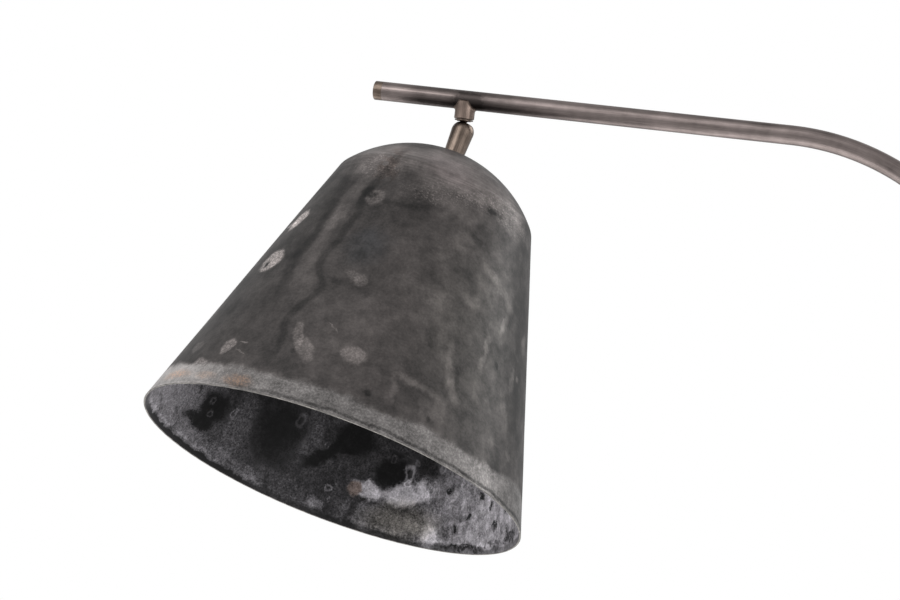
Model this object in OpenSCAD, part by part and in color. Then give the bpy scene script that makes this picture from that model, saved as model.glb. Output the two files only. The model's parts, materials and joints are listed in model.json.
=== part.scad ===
// Arc floor lamp: a weighted round base, a slim steel stem that bends into a rising arm,
// and a spun steel bell shade that hangs from the arm on a small ball swivel.
// Millimetres, +Z up. The origin is the centre of the floor pad's underside, below the stem.
// The arm runs towards -X.

/* [Stand] */
// Height at which the stem starts to bend into the arm
stem_h = 1250; // [1000:10:1500]
// Outside diameter of the stem and arm tube
tube_d = 13; // [12:0.5:16]
// Wall of the tube
tube_wall = 1.5; // [1:0.1:2]
// Radius of the bend, to the tube's centreline
bend_r = 168.5; // [120:0.5:260]
// Angle that the arm rises above level
arm_rise = 7.2; // [0:0.1:15]
// Straight arm from the bend to the tee
arm_reach = 223.5; // [150:0.5:400]
// Arm from the tee to its free tip
arm_tail = 65.4; // [40:0.1:120]
// Height of the screwed joint between the two stem tubes
joint_h = 640; // [400:10:900]

/* [Base] */
// Diameter of the base cover
base_d = 300; // [260:5:360]
// Height of the base cover's top above the floor
base_h = 20.5; // [20.5:0.5:30]
// Thickness of the floor pad
pad_t = 2.5; // [1:0.1:3]

/* [Shade] */
// Diameter of the shade's rim
rim_d = 260; // [200:5:320]
// Height of the shade from rim to apex
shade_h = 234; // [220:1:260]
// Half angle of the cone
cone_angle = 17; // [14:0.5:18]
// Radius of the domed crown
crown_r = 85.4; // [82:0.1:90]
// Radius of the shoulder between cone and crown
shoulder_r = 8; // [4:0.5:12]
// Thickness of the spun sheet
sheet_t = 1.2; // [0.8:0.1:1.6]

/* [Swivel] */
// Distance from the arm's centreline down to the ball's centre
ball_drop = 22; // [21:0.1:26]
// Distance from the ball's centre to the shade's apex
ball_to_apex = 21.9; // [20:0.1:26]
// Tilt of the shade's axis away from the stub's axis
shade_tilt = 25.1; // [0:0.1:28]
// Compass direction of that tilt, about the stub's axis
shade_pan = 74.1; // [0:0.1:360]

/* [Hidden] */
$fn = 96;

eps = 0.05;       // how far a cutting tool runs past the face that it cuts
fit = 0.06;       // radial clearance of a turning fit
gap = 0.3;        // space between pieces that move past each other
swell = 0.05;     // how much fatter a bend is than its straights, whose ends it covers
overlap = 0.2;    // how far a straight runs into its bend

// Stand
tube_r = tube_d / 2;
bore_r = tube_r - tube_wall;
bend_turn = 90 - arm_rise;
cap_l = 6;        // visible length of the arm's end cap
spigot_l = 12;    // length of the end cap's spigot inside the tube
edge_bevel = 0.5; // bevel on the free edges of the end cap and the stub
joiner_ring = 3;  // visible height of the joiner's ring
joiner_spigot = 40;
lead_r = 1.3;
lead_bend_r = 5;  // the lead's own bend where it leaves the arm
lead_z = pad_t + 1.7;  // height of the lead's centreline where it crosses the base

// Base
base_r = base_d / 2;
cover_t = 1.2;
cover_edge_r = 6;
skirt_z = 1;      // the cover's skirt stops this far above the floor
pad_r = base_r - 4;
weight_r = base_r - 3;
weight_top = base_h - 2;
weight_chamfer = 5;
nipple_r = 5;
nipple_bore_r = 3.2;
hole_r = nipple_r + 0.1;   // clearance hole for a nipple
pocket_r = 20;             // pocket under the weight for the nut that clamps the stem
pocket_top = weight_top - 5;
washer_r = 14;
washer_t = 1.5;
nut_t = 5;
nut_across = 17;
collar_r = 16;
collar_neck_r = 8.5;
collar_lip = 2.5;          // height of the collar's plain foot
collar_h = 15;
collar_foot = base_h + 6;  // the stem tube stands at this height inside the collar
nipple_grip = 18;          // how far the base nipple reaches up into the stem tube
inlet_z = 8.5;
inlet_bore_r = 3.5;
inlet_flange_r = 6.5;
inlet_neck_r = 5;          // the bush's neck, and its hole in the cover
block_x = 40;              // near end of the terminal block
block_size = [22, 14, 9];
terminal_side = 3.5;       // each terminal's distance from the block's middle
terminal_r = 1.5;

// Swivel, measured down from the arm's centreline along the stub
stub_r = 6.85;
stub_end = 13;
ring_t = 0.9;
ring_top = stub_end + gap;
ring_foot = ring_top + ring_t + 0.5;
shank_r = 4;
neck_r = 2.3;
ball_r = 5.2;
stud_bore_r = 1.6;

// Swivel housing, measured from the ball's centre along the shade's axis
housing_r = 7.8;
housing_foot_r = 6.75;
mouth_angle = 52;   // from the shade's axis to the mouth's outer edge
mouth_flare = 56;   // the same to its inner edge, so that the mouth opens like the tilted neck
cavity_r = ball_r + 0.1;
housing_bore_r = ball_r + 0.3;
cup_top = -1;
cup_foot = -7.5;
plug_top = -10.5;

// Shade, measured from its rim plane upwards
rim_r = rim_d / 2;
crown_z = shade_h - crown_r;
flat_r = 7;
rim_z = -(ball_to_apex + shade_h);
flat_z = sqrt(crown_r * crown_r - flat_r * flat_r) + crown_z;
seat_z = rim_z + flat_z;   // outside face of the crown's flat, from the ball's centre

// The shoulder's arc touches both the cone and the crown. Its centre lies on a line parallel
// to the cone, at the distance crown_r - shoulder_r from the crown's centre.
shoulder_line = rim_r - shoulder_r / cos(cone_angle) - crown_z * tan(cone_angle);
quad_a = 1 + tan(cone_angle) ^ 2;
quad_b = shoulder_line * tan(cone_angle);
quad_c = shoulder_line ^ 2 - (crown_r - shoulder_r) ^ 2;
shoulder_rise = (quad_b + sqrt(quad_b ^ 2 - quad_a * quad_c)) / quad_a;
shoulder_c = [shoulder_line - shoulder_rise * tan(cone_angle), crown_z + shoulder_rise];
crown_start = atan2(shoulder_rise, shoulder_c.x);

// Lampholder and bulb, measured from the ball's centre along the shade's axis
lock_washer_r = flat_r - 0.2;
lock_washer_t = 1.2;
lock_nut_t = 4;
lock_nut_across = 14;
nut_foot = seat_z - sheet_t - lock_washer_t - lock_nut_t;
holder_top = nut_foot - 1;
holder_r = 19.5;
holder_wall = 1;
cap_shoulder = holder_top - 14;
cap_foot = cap_shoulder - 9;
body_foot = cap_foot - 39;
insert_top = cap_foot + 2;
insert_foot = insert_top - 16;
holder_screw_x = 7;
holder_screw_r = 2;
holder_screw_foot = insert_top - 6;
contact_r = 3;
thread_r = 13.3;
bulb_cap_top = insert_foot - 4;
bulb_cap_l = 24;
tip_contact_r = 5;
tip_contact_t = 2;
glass_neck_r = 14;
glass_r = 30;
glass_top = bulb_cap_top - bulb_cap_l;
glass_centre = glass_top - 52;
glass_wall = 0.8;
stem_rod_r = 2;
stem_rod_l = 30;           // how far the glass rod reaches down into the bulb
filament_r = 9;            // distance of the filaments from the axis, at their lower ends
filament_l = 38;

// Points along an arc, in the plane of a turned profile
function arc(centre, r, from, to, steps) =
    [for (i = [0:steps]) let (turn = from + (to - from) * i / steps) centre + r * [cos(turn), sin(turn)]];

function backwards(points) = [for (i = [len(points) - 1:-1:0]) points[i]];

// The shade's profile at a depth below its outer skin, from the rim to the hole
function shade_line(depth) = concat(
    [[rim_r - depth / cos(cone_angle), 0]],
    arc(shoulder_c, shoulder_r - depth, cone_angle, crown_start, 6),
    arc([0, crown_z], crown_r - depth, crown_start, acos(flat_r / crown_r), 24),
    [[hole_r, flat_z - depth]]
);

// Frames: each maps +Z to the axis of what it places
module at_bend_end() translate([-bend_r, 0, stem_h]) rotate([0, -bend_turn, 0])
    translate([bend_r, 0, 0]) children();
module at_tee() at_bend_end() translate([0, 0, arm_reach]) rotate([0, 90, 0]) children();
module at_ball() at_tee() translate([0, 0, -ball_drop]) children();
module at_head() at_ball() rotate([0, shade_tilt, shade_pan]) children();

// A ring or tube from one height down to another
module ring(top, foot, outer, inner) {
    translate([0, 0, foot]) difference() {
        cylinder(r = outer, h = top - foot);
        translate([0, 0, -eps]) cylinder(r = inner, h = top - foot + 2 * eps);
    }
}

// A hexagon nut with its bore, from its foot upwards
module hex_nut(foot, height, across, bore) {
    translate([0, 0, foot]) difference() {
        cylinder(d = across / cos(30), h = height, $fn = 6);
        translate([0, 0, -eps]) cylinder(r = bore, h = height + 2 * eps);
    }
}

// A solid bar of radius r along the stem, the bend and the arm
module bar_along_stand(r, from, to) {
    translate([0, 0, from]) cylinder(r = r, h = stem_h - from + overlap);
    translate([-bend_r, 0, stem_h]) rotate([90, 0, 0])
        rotate_extrude(angle = bend_turn) translate([bend_r, 0]) circle(r = r + swell);
    at_bend_end() translate([0, 0, -overlap]) cylinder(r = r, h = to + overlap);
}

// A quarter turn of the lead, in the XZ plane
module lead_elbow(start) {
    rotate([90, 0, 0]) rotate_extrude(angle = 90, start = start)
        translate([lead_bend_r, 0]) circle(r = lead_r + swell);
}

module floor_pad() {
    color("#2b2b2b") cylinder(r = pad_r, h = pad_t);
}

// Cast iron disc, with a pocket for the clamping nut and one for the terminal block, a channel
// for the lead between them and a channel for the supply cord out to the rear edge
module base_weight() {
    wedge = weight_chamfer;
    block_room = [block_size.x + 8, block_size.y + 6, pocket_top + eps];
    lead_channel = [block_x, 6, 7];
    cord_channel = [base_r, 15, 15.5];
    color("#4a4a4c") difference() {
        union() {
            translate([0, 0, pad_t]) cylinder(r = weight_r, h = weight_top - wedge - pad_t);
            translate([0, 0, weight_top - wedge]) cylinder(r1 = weight_r, r2 = weight_r - wedge, h = wedge);
        }
        translate([0, 0, -eps]) cylinder(r = hole_r, h = base_h);
        translate([0, 0, -eps]) cylinder(r = pocket_r, h = pocket_top + eps);
        translate([block_x - 4, -block_room.y / 2, -eps]) cube(block_room);
        translate([0, -lead_channel.y / 2, -eps]) cube(lead_channel);
        translate([block_x, -cord_channel.y / 2, -eps]) cube(cord_channel);
    }
}

module base_cover() {
    edge = [base_r - cover_edge_r, base_h - cover_edge_r];
    outer = concat([[base_r, skirt_z]], arc(edge, cover_edge_r, 0, 90, 8), [[hole_r, base_h]]);
    inner = concat([[base_r - cover_t, skirt_z]], arc(edge, cover_edge_r - cover_t, 0, 90, 8),
        [[hole_r, base_h - cover_t]]);
    color("#3d3c3b") difference() {
        rotate_extrude() polygon(concat(outer, backwards(inner)));
        translate([base_r - cover_edge_r, 0, inlet_z]) rotate([0, 90, 0])
            cylinder(r = inlet_neck_r, h = 2 * cover_edge_r);
    }
}

module base_nipple() {
    color("#b0a070") ring(collar_foot + nipple_grip, pocket_top - washer_t - nut_t, nipple_r, nipple_bore_r);
}

module base_washer() {
    color("silver") ring(pocket_top, pocket_top - washer_t, washer_r, nipple_r);
}

module base_nut() {
    color("silver") hex_nut(pocket_top - washer_t - nut_t, nut_t, nut_across, nipple_r);
}

// Rubber bush that snaps into the cover's edge: an outer flange, a neck and an inner flange
module cord_bush() {
    flange_t = 2;
    inner_flange_r = 6.2;
    inner_flange_t = 1.5;
    inner_foot = base_r - cover_t - gap - inner_flange_t;
    bush_l = base_r + flange_t - inner_foot;
    color("#1c1c1c") translate([0, 0, inlet_z]) rotate([0, 90, 0]) difference() {
        union() {
            translate([0, 0, base_r]) cylinder(r = inlet_flange_r, h = flange_t);
            translate([0, 0, inner_foot]) cylinder(r = inlet_neck_r, h = base_r + eps - inner_foot);
            translate([0, 0, inner_foot]) cylinder(r = inner_flange_r, h = inner_flange_t);
        }
        translate([0, 0, inner_foot - eps]) cylinder(r = inlet_bore_r, h = bush_l + 2 * eps);
    }
}

// Terminal block where the supply cord meets the lamp's own lead
module terminal_block() {
    screw_foot = 4;
    wire_hole_r = 1.2;
    wire_hole_z = 5.5;
    color("ivory") translate([block_x, 0, pad_t + 0.5]) difference() {
        translate([0, -block_size.y / 2, 0]) cube(block_size);
        for (side = [-1, 1]) translate([block_size.x / 2, side * terminal_side, 0]) {
            translate([0, 0, screw_foot]) cylinder(r = terminal_r, h = block_size.z);
            translate([0, 0, wire_hole_z]) rotate([0, 90, 0]) cylinder(r = wire_hole_r, h = block_size.x);
        }
    }
}

// A screw with a slot across its head, from its foot upwards
module slotted_screw(r, height, slot) {
    slot_depth = 0.7;
    difference() {
        cylinder(r = r, h = height);
        translate([-slot / 2, -r - eps, height - slot_depth]) cube([slot, 2 * r + 2 * eps, slot_depth + eps]);
    }
}

module terminal_screws() {
    foot = pad_t + 4.5;
    color("silver") for (side = [-1, 1])
        translate([block_x + block_size.x / 2, side * terminal_side, foot]) slotted_screw(terminal_r, 4, 0.5);
}

// Turned collar: a plain foot that flares up in a hollow curve to the neck round the stem
module stem_collar() {
    flare_top = collar_h - 2;
    color("#5a524b") difference() {
        translate([0, 0, base_h]) rotate_extrude() polygon(concat(
            [[0, 0], [collar_r, 0], [collar_r, collar_lip]],
            arc([collar_r, flare_top], collar_r - collar_neck_r, 255, 180, 10),
            [[collar_neck_r, collar_h], [0, collar_h]]
        ));
        translate([0, 0, collar_foot]) cylinder(r = tube_r, h = collar_h);
        translate([0, 0, base_h - eps]) cylinder(r = nipple_r, h = collar_h);
    }
}

module stem_lower() {
    color("#5a524b") ring(joint_h, collar_foot, tube_r, bore_r);
}

module stem_joiner() {
    joiner_l = 2 * joiner_spigot + joiner_ring;
    color("#4d463f") translate([0, 0, joint_h]) difference() {
        union() {
            cylinder(r = tube_r, h = joiner_ring);
            translate([0, 0, -joiner_spigot]) cylinder(r = bore_r, h = joiner_l);
        }
        translate([0, 0, -joiner_spigot - eps]) cylinder(r = nipple_bore_r, h = joiner_l + 2 * eps);
    }
}

module arm_tube() {
    tube_end = arm_reach + arm_tail - cap_l;
    color("#5a524b") difference() {
        bar_along_stand(tube_r, joint_h + joiner_ring, tube_end);
        bar_along_stand(bore_r, joint_h, tube_end + 1);
        at_tee() translate([0, 0, -tube_d]) cylinder(r = stud_bore_r + 1, h = tube_d);
    }
}

module arm_end_cap() {
    color("#6b5b4e") at_bend_end() translate([0, 0, arm_reach + arm_tail - cap_l]) {
        cylinder(r = tube_r, h = cap_l - edge_bevel);
        translate([0, 0, cap_l - edge_bevel]) cylinder(r1 = tube_r, r2 = tube_r - edge_bevel, h = edge_bevel);
        translate([0, 0, -spigot_l]) cylinder(r = bore_r - eps, h = spigot_l + eps);
    }
}

// Short tube brazed under the arm, bored for the ball stud's shank
module tee_stub() {
    color("#5a524b") at_tee() difference() {
        union() {
            translate([0, 0, edge_bevel - stub_end]) cylinder(r = stub_r, h = stub_end - edge_bevel);
            translate([0, 0, -stub_end]) cylinder(r1 = stub_r - edge_bevel, r2 = stub_r, h = edge_bevel);
        }
        translate([-tube_d, 0, 0]) rotate([0, 90, 0]) cylinder(r = tube_r, h = 2 * tube_d);
        translate([0, 0, -stub_end - eps]) cylinder(r = shank_r + fit, h = stub_end);
    }
}

// The lamp's own lead: from the terminal block, up the stem, along the arm and down into the ball
module stand_lead() {
    elbow_end = lead_bend_r - overlap / 4;
    ball_foot = ball_drop + ball_r - 0.5;
    color("#e8e4da") {
        translate([elbow_end, 0, lead_z]) rotate([0, 90, 0]) cylinder(r = lead_r, h = block_x - elbow_end);
        translate([lead_bend_r, 0, lead_z + lead_bend_r]) lead_elbow(180);
        bar_along_stand(lead_r, lead_z + elbow_end, arm_reach - elbow_end);
        at_tee() {
            translate([lead_bend_r, 0, -lead_bend_r]) lead_elbow(90);
            translate([0, 0, -ball_foot]) cylinder(r = lead_r, h = ball_foot - elbow_end);
        }
    }
}

// Hollow stud: threaded shank in the stub, slim neck and ball
module ball_stud() {
    shank_top = -tube_r - 1;
    color("#6b5b4e") at_tee() difference() {
        union() {
            translate([0, 0, -ring_foot]) cylinder(r = shank_r, h = shank_top + ring_foot);
            translate([0, 0, -ball_drop]) cylinder(r = neck_r, h = ball_drop - ring_foot + eps);
            translate([0, 0, -ball_drop]) sphere(r = ball_r);
        }
        translate([0, 0, -2 * ball_drop]) cylinder(r = stud_bore_r, h = 2 * ball_drop);
    }
}

// Thin ring under the stub, with a boss that tapers down towards the neck
module lock_ring() {
    ring_r = 6.3;
    boss_r = 5.5;
    color("#6b5b4e") at_tee() rotate_extrude() polygon([
        [shank_r, -ring_top], [ring_r, -ring_top], [ring_r, -ring_top - ring_t],
        [boss_r, -ring_top - ring_t], [shank_r + 0.4, -ring_foot], [shank_r, -ring_foot]
    ]);
}

// Cup that the spring washers press against the ball from below
module friction_cup() {
    color("#d8d2c0") at_head() difference() {
        translate([0, 0, cup_foot]) cylinder(r = housing_bore_r - fit, h = cup_top - cup_foot);
        sphere(r = ball_r + fit);
        translate([0, 0, cup_foot - eps]) cylinder(r = nipple_bore_r, h = ball_r);
    }
}

// Teardrop housing: spherical seat and mouth above, open threaded bore below
module swivel_housing() {
    taper = 8;   // the taper below the ball meets the round at this angle below its equator
    outline = concat(
        [[0, seat_z], [housing_foot_r, seat_z]],
        arc([0, 0], housing_r, -taper, 90 - mouth_angle, 16),
        [cavity_r * [sin(mouth_flare), cos(mouth_flare)], [0, 0]]
    );
    color("#6b5b4e") at_head() difference() {
        rotate_extrude() polygon(outline);
        sphere(r = cavity_r);
        translate([0, 0, seat_z - eps]) cylinder(r = housing_bore_r, h = -seat_z + eps);
    }
}

// Two conical spring washers, one on the other
module spring_washers() {
    inner_r = 2.6;
    outer_r = ball_r;
    spring_t = 0.5;
    rise = 0.8;
    half_gap = 0.02;
    middle = (cup_foot - gap + plug_top) / 2;
    color("silver") at_head() for (side = [-1, 1]) translate([0, 0, middle]) scale([1, 1, side])
        rotate_extrude() polygon([
            [inner_r, rise], [outer_r, half_gap], [outer_r, spring_t], [inner_r, rise + spring_t]
        ]);
}

// Hollow threaded nipple: screws up into the housing, carries the shade and the lampholder
module shade_nipple() {
    nipple_foot = holder_top - 8;
    bore_r = nipple_bore_r - 1;
    color("#b0a070") at_head() difference() {
        union() {
            translate([0, 0, seat_z]) cylinder(r = housing_bore_r, h = plug_top - seat_z);
            translate([0, 0, nipple_foot]) cylinder(r = nipple_r, h = seat_z - nipple_foot + eps);
        }
        translate([0, 0, nipple_foot - eps]) cylinder(r = bore_r, h = plug_top - nipple_foot + 2 * eps);
    }
}

module shade() {
    color("#4b4a48") at_head() translate([0, 0, rim_z])
        rotate_extrude() polygon(concat(shade_line(0), backwards(shade_line(sheet_t))));
}

module shade_washer() {
    top = seat_z - sheet_t;
    color("silver") at_head() ring(top, top - lock_washer_t, lock_washer_r, nipple_r);
}

module shade_nut() {
    color("silver") at_head() hex_nut(nut_foot, lock_nut_t, lock_nut_across, nipple_r);
}

// Lead in the head: from below the ball through the nipple, then one core to each terminal
module holder_lead() {
    split_z = cap_shoulder + 2;
    lead_top = -ball_r - 1;
    core_r = 0.6;
    core_l = 11;
    core_turn = 146;   // each core leaves the lead at this angle from straight up
    end_x = holder_screw_x - 0.4;
    end_z = insert_top - 1.9;
    color("#e8e4da") at_head() {
        translate([0, 0, split_z]) cylinder(r = lead_r, h = lead_top - split_z);
        for (side = [-1, 1]) {
            translate([0, 0, split_z + 1]) rotate([0, side * core_turn, 0]) cylinder(r = core_r, h = core_l);
            translate([side * end_x, 0, end_z]) cylinder(r = core_r, h = 3);
        }
    }
}

module holder_cap() {
    boss_r = 8;
    dome_r = holder_r - boss_r;
    dome = [boss_r, cap_shoulder];
    outer = concat([[0, holder_top], [boss_r, holder_top]], arc(dome, dome_r, 90, 0, 12),
        [[holder_r, cap_foot], [0, cap_foot]]);
    inner = concat([[0, cap_foot - eps], [holder_r - holder_wall, cap_foot - eps]],
        arc(dome, dome_r - holder_wall, 0, 90, 12), [[0, cap_shoulder + dome_r - holder_wall]]);
    color("#2a2a2a") at_head() difference() {
        rotate_extrude() polygon(outer);
        rotate_extrude() polygon(inner);
        translate([0, 0, cap_shoulder]) cylinder(r = nipple_r, h = holder_top - cap_shoulder + eps);
    }
}

// Sleeve that screws up into the cap, with a bead round its mouth
module holder_body() {
    outer_r = holder_r - holder_wall;
    grip = 5;
    bead_h = 2.5;
    bead_r = outer_r + 1.2;
    color("#2a2a2a") at_head() {
        ring(cap_foot + grip, body_foot, outer_r, outer_r - holder_wall);
        ring(body_foot + bead_h, body_foot, bead_r, outer_r - eps);
    }
}

module holder_insert() {
    insert_r = holder_r - 2 * holder_wall;
    recess_r = contact_r + 1;
    recess_depth = 3;
    color("white") at_head() difference() {
        translate([0, 0, insert_foot]) cylinder(r = insert_r - eps, h = insert_top - insert_foot);
        for (side = [-1, 1]) translate([side * holder_screw_x, 0, holder_screw_foot])
            cylinder(r = holder_screw_r, h = insert_top - holder_screw_foot + eps);
        translate([0, 0, insert_foot - eps]) cylinder(r = recess_r, h = recess_depth);
    }
}

module holder_screws() {
    color("silver") at_head() for (side = [-1, 1])
        translate([side * holder_screw_x, 0, holder_screw_foot]) slotted_screw(holder_screw_r, 4, 0.6);
}

module holder_thread() {
    shell_t = 0.6;
    thread_foot = body_foot + 4;
    color("#c9b37a") at_head() ring(insert_foot, thread_foot, thread_r + shell_t, thread_r);
}

module holder_contact() {
    spring_room = 2.9;
    color("#c9b37a") at_head() translate([0, 0, bulb_cap_top])
        cylinder(r = contact_r, h = insert_foot - bulb_cap_top + spring_room);
}

module bulb_cap() {
    skirt_r = thread_r - 0.1;
    skirt_t = 0.6;
    skirt_l = bulb_cap_l - 3;
    taper_l = 2;
    taper_r = tip_contact_r + 2;
    color("silver") at_head() translate([0, 0, glass_top]) difference() {
        union() {
            cylinder(r = skirt_r, h = skirt_l);
            translate([0, 0, skirt_l]) cylinder(r1 = skirt_r, r2 = taper_r, h = taper_l);
        }
        translate([0, 0, -eps]) cylinder(r = skirt_r - skirt_t, h = skirt_l - 1);
        cylinder(r = tip_contact_r, h = bulb_cap_l);
    }
}

module bulb_contact() {
    color("silver") at_head() translate([0, 0, bulb_cap_top - tip_contact_t])
        cylinder(r = tip_contact_r, h = tip_contact_t);
}

module bulb_glass() {
    neck_angle = 50;   // the globe runs up to this angle above its equator
    globe = arc([0, glass_centre], glass_r, -90, neck_angle, 28);
    inner = arc([0, glass_centre], glass_r - glass_wall, neck_angle, -90, 28);
    color([1, 1, 1, 0.4]) at_head() rotate_extrude() polygon(concat(
        globe,
        [[glass_neck_r, glass_top], [glass_neck_r - glass_wall, glass_top]],
        inner
    ));
}

// Glass rod that carries the filaments, and the flare that closes the bulb's neck
module bulb_stem() {
    rod_top = 18;
    flare_r = 11;
    flare_foot = -8;
    flare_h = 14;
    color([1, 1, 1, 0.6]) at_head() translate([0, 0, glass_top]) {
        translate([0, 0, -stem_rod_l]) cylinder(r = stem_rod_r, h = stem_rod_l + rod_top);
        translate([0, 0, flare_foot]) cylinder(r1 = stem_rod_r, r2 = flare_r, h = flare_h);
    }
}

// Four upright rods, leaning in towards the axis at the top
module bulb_filaments() {
    rod_r = 0.8;
    lean = 6;
    filament_foot = glass_top - 50;
    color("#f0d080") at_head() for (turn = [0:90:270]) rotate([0, 0, turn])
        translate([filament_r, 0, filament_foot]) rotate([0, -lean, 0]) cylinder(r = rod_r, h = filament_l);
}

floor_pad();
base_weight();
base_cover();
base_nipple();
base_washer();
base_nut();
cord_bush();
terminal_block();
terminal_screws();
stem_collar();
stem_lower();
stem_joiner();
arm_tube();
arm_end_cap();
tee_stub();
stand_lead();
ball_stud();
lock_ring();
friction_cup();
swivel_housing();
spring_washers();
shade_nipple();
shade();
shade_washer();
shade_nut();
holder_lead();
holder_cap();
holder_body();
holder_insert();
holder_screws();
holder_thread();
holder_contact();
bulb_cap();
bulb_contact();
bulb_glass();
bulb_stem();
bulb_filaments();
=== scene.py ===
"""The looks of the arc floor lamp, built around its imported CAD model.

Outlines and other sizes of the pieces are in millimetres, as in the CAD; meshes are made in metres.
"""
import json
from math import acos, asin, atan2, cos, hypot, pi, radians, sin, sqrt, tan

import bpy
from mathutils import Matrix, Vector, noise


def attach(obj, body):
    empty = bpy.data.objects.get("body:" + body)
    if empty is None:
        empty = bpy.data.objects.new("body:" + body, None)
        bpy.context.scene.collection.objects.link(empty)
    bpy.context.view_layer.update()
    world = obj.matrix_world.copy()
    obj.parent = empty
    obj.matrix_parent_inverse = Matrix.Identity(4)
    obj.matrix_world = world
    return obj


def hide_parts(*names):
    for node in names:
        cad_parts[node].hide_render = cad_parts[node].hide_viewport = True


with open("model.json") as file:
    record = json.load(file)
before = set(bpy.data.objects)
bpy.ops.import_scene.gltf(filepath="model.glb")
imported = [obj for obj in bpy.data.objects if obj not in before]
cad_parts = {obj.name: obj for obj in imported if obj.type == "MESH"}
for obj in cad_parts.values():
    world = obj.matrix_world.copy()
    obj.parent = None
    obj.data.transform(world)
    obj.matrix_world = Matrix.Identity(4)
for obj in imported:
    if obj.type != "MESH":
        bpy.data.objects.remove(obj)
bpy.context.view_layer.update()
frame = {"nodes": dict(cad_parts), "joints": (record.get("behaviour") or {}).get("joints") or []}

MM = 0.001

# Stand
TUBE_R = 6.5
TUBE_BORE_R = 5.0
BEND_R = 168.5
STEM_H = 1250
BEND_TURN = radians(82.8)
ARM_REACH = 223.5       # straight arm from the bend to the tee
ARM_TAIL = 65.4         # arm from the tee to its tip
CAP_L = 6
JOINT_H = 640
JOINER_RING = 3
JOINER_SPIGOT = 40
CAP_SPIGOT = 12
TUBE_LENGTH = STEM_H - JOINT_H - JOINER_RING + BEND_R * BEND_TURN + ARM_REACH + ARM_TAIL - CAP_L

# Base
BASE_R = 150
BASE_H = 20.5
COVER_T = 1.2
PAD_T = 2.5
PAD_R = BASE_R - 4
COLLAR_R = 16
COLLAR_NECK_R = 8.5
COLLAR_H = 15
COLLAR_FOOT = BASE_H + 6
INLET_Z = 8.5

# Swivel, measured along the stub from the arm's centreline or along the shade from the ball
STUB_R = 6.85
STUB_END = 13
BALL_DROP = 22
BALL_R = 5.2
NECK_R = 2.3
SHANK_R = 4
STUD_BORE_R = 1.6
RING_FOOT = 14.7
HOUSING_R = 7.8
HOUSING_FOOT_R = 6.75
HOUSING_BORE_R = 5.5
MOUTH = radians(52)
MOUTH_FLARE = radians(56)

# Shade, measured from its rim plane upwards
RIM_R = 130
SHADE_H = 234
CONE = radians(17)
CROWN_R = 85.4
CROWN_Z = SHADE_H - CROWN_R
SHOULDER_R = 8
SHEET_T = 1.2
BALL_TO_APEX = 21.9
SHOULDER_Z = 198        # height at which the cone ends and the crown begins
RIM_Z = -(BALL_TO_APEX + SHADE_H)
FLAT_R = 7              # the crown is flat out to here, for the housing and the nut
FLAT_Z = CROWN_Z + sqrt(CROWN_R ** 2 - FLAT_R ** 2)
SEAT_Z = RIM_Z + FLAT_Z

# Lampholder and bulb, measured along the shade from the ball
NIPPLE_R = 5
HOLE_R = NIPPLE_R + 0.1  # hole for a nipple, in the shade and in the base cover
WASHER_T = 1.2
NUT_T = 4
NUT_ACROSS = 14
HOLDER_R = 19.5
HOLDER_TOP = SEAT_Z - SHEET_T - WASHER_T - NUT_T - 1
CAP_SHOULDER = HOLDER_TOP - 14
CAP_FOOT = CAP_SHOULDER - 9
BODY_FOOT = CAP_FOOT - 39
GLASS_TOP = CAP_FOOT - 42
GLOBE_R = 30
GLOBE_Z = GLASS_TOP - 52


# ---- Frames ----

joints = {j["name"]: j for j in frame["joints"]}


def placed(origin, x_axis, y_axis, z_axis):
    """The matrix of a frame with these axes at this origin."""
    turn = Matrix((x_axis, y_axis, z_axis)).transposed().to_4x4()
    return Matrix.Translation(origin) @ turn


BALL = Vector(joints["shade_pan"]["pos_m"])
STUB_UP = Vector(joints["shade_pan"]["axis"]).normalized()
SHADE_UP = Vector(joints["shade_spin"]["axis"]).normalized()
TILT_AXIS = Vector(joints["shade_tilt"]["axis"]).normalized()
SIDE = Vector((0, 1, 0))
UP = Vector((0, 0, 1))
TEE = BALL + BALL_DROP * MM * STUB_UP
ARM_IN = SIDE.cross(STUB_UP)  # along the arm, from its tip towards the stem

WORLD = Matrix.Identity(4)
AT_TEE = placed(TEE, ARM_IN, SIDE, STUB_UP)
AT_HEAD = placed(BALL, TILT_AXIS.cross(SHADE_UP), TILT_AXIS, SHADE_UP)
AT_ARM_END = placed(TEE - ARM_TAIL * MM * ARM_IN, STUB_UP, SIDE, -ARM_IN)
AT_INLET = placed(Vector((BASE_R * MM, 0, INLET_Z * MM)), -UP, SIDE, Vector((1, 0, 0)))
# the shade's own frame: its origin is the rim's centre, and +X is the side towards the camera
FRONT = radians(-150)
AT_SHADE = AT_HEAD @ Matrix.Translation((0, 0, RIM_Z * MM)) @ Matrix.Rotation(FRONT, 4, "Z")


# ---- Camera, floor and light ----

CAMERA_AZIMUTH = radians(16.3)
CAMERA_LENS = 100
CAMERA_BACK = 1.702     # from the tee, along the view
CAMERA_LEFT = 0.0111
CAMERA_DROP = 0.1361
FILL_LIGHT = 0.62       # strength of the even light that the lamp sees all round


def add_object(name, data):
    made = bpy.data.objects.new(name, data)
    bpy.context.scene.collection.objects.link(made)
    return made


def make_camera():
    right = Vector((cos(CAMERA_AZIMUTH), sin(CAMERA_AZIMUTH), 0))
    ahead = Vector((-sin(CAMERA_AZIMUTH), cos(CAMERA_AZIMUTH), 0))
    camera = add_object("camera", bpy.data.cameras.new("camera"))
    camera.data.lens = CAMERA_LENS
    camera.data.sensor_width = 36
    camera.data.clip_start = 0.05
    camera.data.clip_end = 60
    camera.location = TEE - CAMERA_LEFT * right - CAMERA_BACK * ahead - CAMERA_DROP * UP
    camera.rotation_euler = (pi / 2, 0, CAMERA_AZIMUTH)
    bpy.context.scene.camera = camera


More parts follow.
